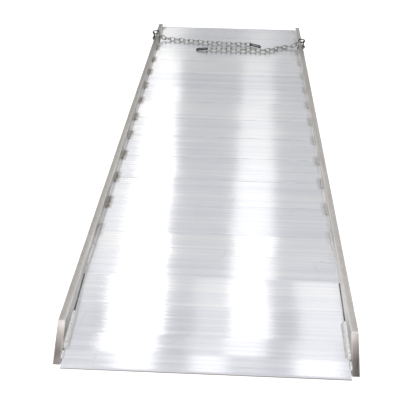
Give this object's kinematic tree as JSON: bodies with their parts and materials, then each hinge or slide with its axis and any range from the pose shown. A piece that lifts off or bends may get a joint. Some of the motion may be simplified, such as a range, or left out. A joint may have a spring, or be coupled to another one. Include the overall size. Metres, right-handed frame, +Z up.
{
  "type": "loading ramp",
  "caption": "Straight aluminium loading ramp: ribbed deck planks between two side rails, sloped toe, bent top lip, and a safety chain with a snap hook at each side.",
  "frame": {"origin": "on the ground under the middle of the ramp, with the ramp lying flat on its rails", "axes": "+Y up the ramp from the toe to the lip, +X to the right when looking up the ramp, +Z up from the ground"},
  "size_m": [0.783, 2.3686, 0.0937],
  "materials": {
    "deck_aluminium": "mill finish extrusion, drawn across the ramp",
    "rail_aluminium": "mill finish tube, slightly dull",
    "weld": "rough weld metal",
    "galvanised_steel": "galvanised chain, dull",
    "dark_steel": "plated steel gone dark",
    "zinc_hardware": "zinc plated"
  },
  "bodies": {
    "ramp": {"rail_left": "rail_aluminium", "rail_right": "rail_aluminium", "mitre_plate_left": "rail_aluminium", "mitre_plate_right": "rail_aluminium", "end_cap_left": "rail_aluminium", "end_cap_right": "rail_aluminium", "plank_1": "deck_aluminium", "plank_2": "deck_aluminium", "plank_3": "deck_aluminium", "plank_4": "deck_aluminium", "plank_5": "deck_aluminium", "plank_6": "deck_aluminium", "plank_7": "deck_aluminium", "plank_8": "deck_aluminium", "plank_9": "deck_aluminium", "plank_10": "deck_aluminium", "plank_11": "deck_aluminium", "plank_12": "deck_aluminium", "plank_13": "deck_aluminium", "plank_14": "deck_aluminium", "approach_plank": "deck_aluminium", "toe_plank": "deck_aluminium", "top_lip": "deck_aluminium", "deck_welds_left": "weld", "deck_welds_right": "weld", "toe_welds": "weld", "mitre_welds": "weld", "lip_welds": "weld", "u_bolt_left": "dark_steel", "u_bolt_right": "dark_steel", "u_bolt_washers": "zinc_hardware", "u_bolt_nuts": "zinc_hardware"},
    "left_chain_root": {"left_chain_anchor": "dark_steel"},
    "left_chain_first": {"left_chain_a": "galvanised_steel"},
    "left_chain_middle": {"left_chain_b": "galvanised_steel"},
    "left_chain_last": {"left_chain_c": "galvanised_steel"},
    "left_end_hook": {"left_hook": "dark_steel", "left_gate_pin": "zinc_hardware"},
    "left_gate": {"left_hook_gate": "dark_steel"},
    "right_chain_root": {"right_chain_anchor": "dark_steel"},
    "right_chain_first": {"right_chain_a": "galvanised_steel"},
    "right_chain_middle": {"right_chain_b": "galvanised_steel"},
    "right_chain_last": {"right_chain_c": "galvanised_steel"},
    "right_end_hook": {"right_hook": "dark_steel", "right_gate_pin": "zinc_hardware"},
    "right_gate": {"right_hook_gate": "dark_steel"}
  },
  "joints": [
    {"name": "left_chain_tilt", "type": "hinge", "parent": "ramp", "child": "left_chain_root", "pos_m": [-0.3815, 0.9503, 0.05045], "axis": [0, -1, 0], "range_deg": [0, 55]},
    {"name": "left_chain_lift_1", "type": "hinge", "parent": "left_chain_root", "child": "left_chain_first", "pos_m": [-0.36288, 0.9503, 0.08347], "axis": [0, -1, 0], "range_deg": [0, 70]},
    {"name": "left_chain_lift_2", "type": "hinge", "parent": "left_chain_first", "child": "left_chain_middle", "pos_m": [-0.19876, 0.93454, 0.0483], "axis": [-0.1564, -0.9877, 0], "range_deg": [0, 50]},
    {"name": "left_chain_lift_3", "type": "hinge", "parent": "left_chain_middle", "child": "left_chain_last", "pos_m": [-0.05228, 0.91729, 0.0483], "axis": [-0.0523, -0.9986, 0], "range_deg": [0, 50]},
    {"name": "left_hook_lift", "type": "hinge", "parent": "left_chain_last", "child": "left_end_hook", "pos_m": [0.11325, 0.90905, 0.0483], "axis": [-0.2079, -0.9781, 0], "range_deg": [0, 60]},
    {"name": "left_gate_swing", "type": "hinge", "parent": "left_end_hook", "child": "left_gate", "pos_m": [0.12832, 0.91556, 0.04654], "axis": [-0.1277, 0.0271, -0.9914], "range_deg": [0, 22], "stiffness_Nm_per_rad": 0.02},
    {"name": "right_chain_tilt", "type": "hinge", "parent": "ramp", "child": "right_chain_root", "pos_m": [0.3815, 0.8873, 0.05045], "axis": [0, 1, 0], "range_deg": [0, 55]},
    {"name": "right_chain_lift_1", "type": "hinge", "parent": "right_chain_root", "child": "right_chain_first", "pos_m": [0.36288, 0.8873, 0.08347], "axis": [0, 1, 0], "range_deg": [0, 70]},
    {"name": "right_chain_lift_2", "type": "hinge", "parent": "right_chain_first", "child": "right_chain_middle", "pos_m": [0.16286, 0.82888, 0.0483], "axis": [-0.1045, 0.9945, 0], "range_deg": [0, 50]},
    {"name": "right_chain_lift_3", "type": "hinge", "parent": "right_chain_middle", "child": "right_chain_last", "pos_m": [0.04613, 0.8285, 0.0483], "axis": [0.1219, 0.9925, 0], "range_deg": [0, 50]},
    {"name": "right_hook_lift", "type": "hinge", "parent": "right_chain_last", "child": "right_end_hook", "pos_m": [-0.10093, 0.83133, 0.0483], "axis": [0.1045, 0.9945, 0], "range_deg": [0, 60]},
    {"name": "right_gate_swing", "type": "hinge", "parent": "right_end_hook", "child": "right_gate", "pos_m": [-0.11324, 0.84218, 0.04654], "axis": [-0.1298, 0.0136, 0.9914], "range_deg": [0, 22], "stiffness_Nm_per_rad": 0.02}
  ]
}
